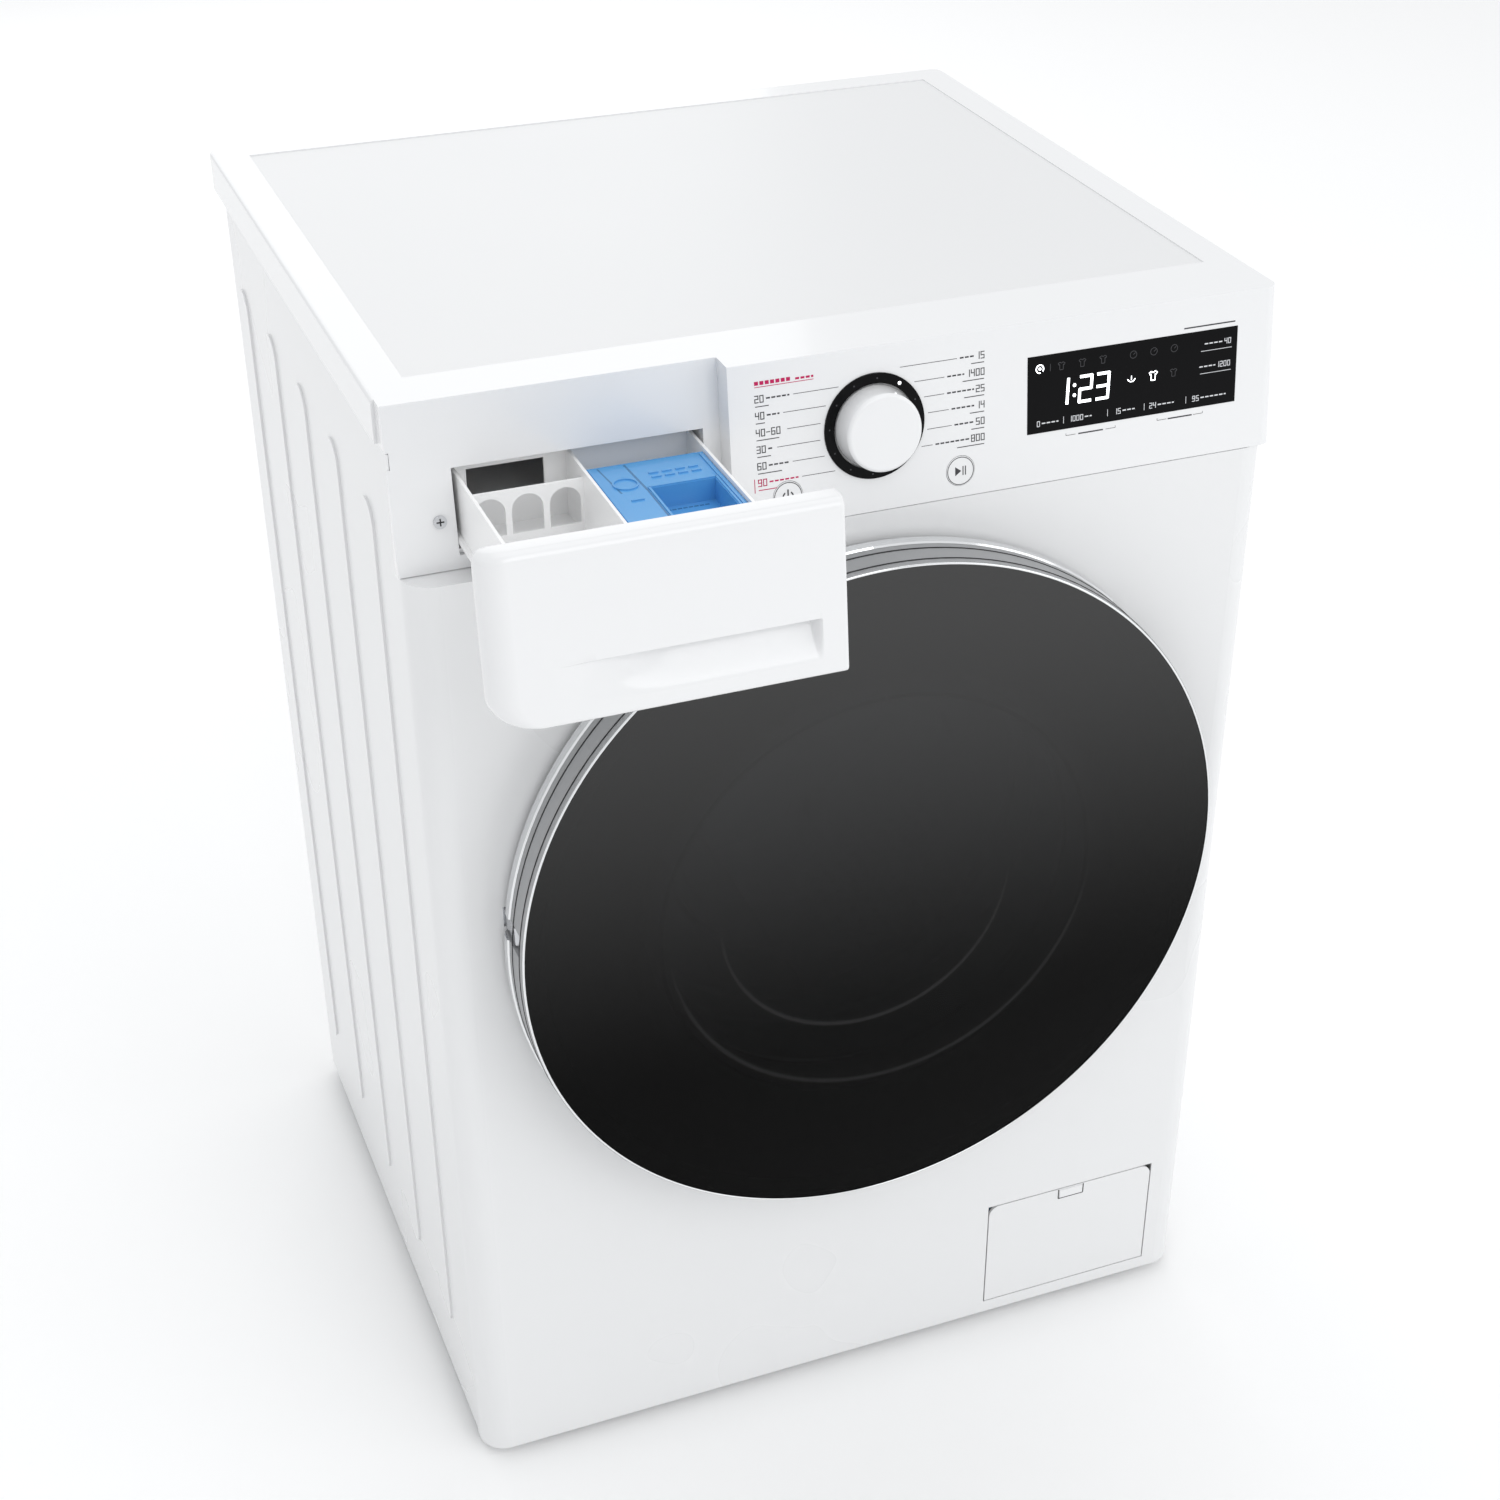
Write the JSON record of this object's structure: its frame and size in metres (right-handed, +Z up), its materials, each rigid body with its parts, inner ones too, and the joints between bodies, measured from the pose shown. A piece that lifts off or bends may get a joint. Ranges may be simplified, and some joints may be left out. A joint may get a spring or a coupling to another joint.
{
  "type": "front load washing machine",
  "caption": "Front-loading washing machine with a round dark glass door, a leaning control panel and a detergent drawer pulled out.",
  "frame": {"origin": "on the floor, at the middle of the rectangle that the four feet stand on", "axes": "+X to the right of a person who faces the door, +Y towards the back, +Z up"},
  "size_m": [0.6, 0.7387, 0.85],
  "materials": {
    "white_enamel": "gloss",
    "white_plastic": "gloss",
    "tray_plastic": "satin",
    "blue_plastic": "satin",
    "grey_plastic": "matte",
    "tub_plastic": "matte",
    "black_plastic": "matte",
    "silver_trim": "bright",
    "bezel_silver": "metallic satin",
    "dark_glass": "gloss",
    "clear_glass": "gloss",
    "display_black": "gloss",
    "galvanised": "satin",
    "drum_steel": "brushed",
    "steel": "satin",
    "cast_metal": "cast",
    "grey_rubber": "matte",
    "black_rubber": "matte",
    "concrete": "rough",
    "circuit_green": "satin",
    "motor_copper": "satin",
    "rotor_steel": "satin"
  },
  "bodies": {
    "machine": {"cabinet": "white_enamel", "base_pan": "galvanised", "feet": "grey_rubber", "rear_cover": "white_enamel", "screws": "steel", "transit_caps": "grey_plastic", "cord_gland": "black_rubber", "top_frame": "white_plastic", "top_board": "white_plastic", "top_brace": "galvanised", "front_panel": "white_enamel", "control_panel": "white_plastic", "display_window": "display_black", "control_board": "circuit_green", "knob_ring": "display_black", "knob_encoder": "black_plastic", "button_board": "circuit_green", "dispenser_housing": "tray_plastic", "dispenser_hose": "black_rubber", "water_valve": "tub_plastic", "fill_hose": "black_rubber", "tub_front": "tub_plastic", "tub_rear": "tub_plastic", "front_weight": "concrete", "door_seal": "grey_rubber", "springs": "steel", "damper_tubes": "grey_plastic", "damper_rods": "steel", "bearings": "steel", "stator": "motor_copper", "heater": "steel", "pump_housing": "tub_plastic", "pump_motor": "black_plastic", "sump_hose": "black_rubber", "drain_pipe": "grey_plastic", "filter_bay": "tub_plastic", "hinge_arm": "steel", "door_lock": "black_plastic"},
    "drum": {"drum": "drum_steel", "lifters": "tub_plastic", "spider": "cast_metal", "drum_shaft": "steel", "rotor": "rotor_steel"},
    "door": {"door_bezel": "bezel_silver", "door_trim": "silver_trim", "door_glass": "dark_glass", "door_frame": "black_plastic", "door_bowl": "clear_glass", "hinge_pin": "steel"},
    "latch": {"latch_hook": "steel"},
    "drawer": {"drawer_front": "white_plastic", "drawer_tray": "tray_plastic", "tray_divider": "tray_plastic"},
    "siphon": {"siphon_insert": "blue_plastic"},
    "knob": {"program_knob": "white_plastic"},
    "power": {"power_button": "white_plastic"},
    "start": {"start_button": "white_plastic"},
    "flap": {"service_flap": "white_plastic"},
    "filter": {"drain_filter": "blue_plastic"},
    "impeller": {"pump_impeller": "tub_plastic"}
  },
  "joints": [
    {"name": "drum_spin", "type": "hinge", "parent": "machine", "child": "drum", "pos_m": [0, 0, 0.4705], "axis": [0, 1, 0], "continuous": true},
    {"name": "door_swing", "type": "hinge", "parent": "machine", "child": "door", "pos_m": [-0.249, -0.3015, 0.4705], "axis": [0, 0, -1], "range_deg": [0, 140]},
    {"name": "latch_pivot", "type": "hinge", "parent": "door", "child": "latch", "pos_m": [0.212, -0.291, 0.4705], "axis": [0, 0, 1], "range_deg": [0, 6], "stiffness_Nm_per_rad": 0.05},
    {"name": "drawer_slide", "type": "slide", "parent": "machine", "child": "drawer", "axis": [0, -1, 0], "range_m": [-0.19, 0]},
    {"name": "siphon_lift", "type": "slide", "parent": "drawer", "child": "siphon", "axis": [0, 0, 1], "range_m": [0, 0.045]},
    {"name": "knob_turn", "type": "hinge", "parent": "machine", "child": "knob", "pos_m": [0.0083, -0.27239, 0.79927], "axis": [0, 0.9942, -0.108], "continuous": true},
    {"name": "power_press", "type": "slide", "parent": "machine", "child": "power", "axis": [0, 0.9942, -0.108], "range_m": [0, 0.0008], "stiffness_N_per_m": 900},
    {"name": "start_press", "type": "slide", "parent": "machine", "child": "start", "axis": [0, 0.9942, -0.108], "range_m": [0, 0.0008], "stiffness_N_per_m": 900},
    {"name": "flap_swing", "type": "hinge", "parent": "machine", "child": "flap", "pos_m": [0.121, -0.2735, 0.027], "axis": [1, 0, 0], "range_deg": [0, 85]},
    {"name": "filter_turn", "type": "hinge", "parent": "machine", "child": "filter", "pos_m": [0.165, -0.2193, 0.066], "axis": [0, 1, 0], "range_deg": [0, 180]},
    {"name": "impeller_spin", "type": "hinge", "parent": "machine", "child": "impeller", "pos_m": [0.165, -0.1333, 0.066], "axis": [0, 1, 0], "continuous": true}
  ]
}
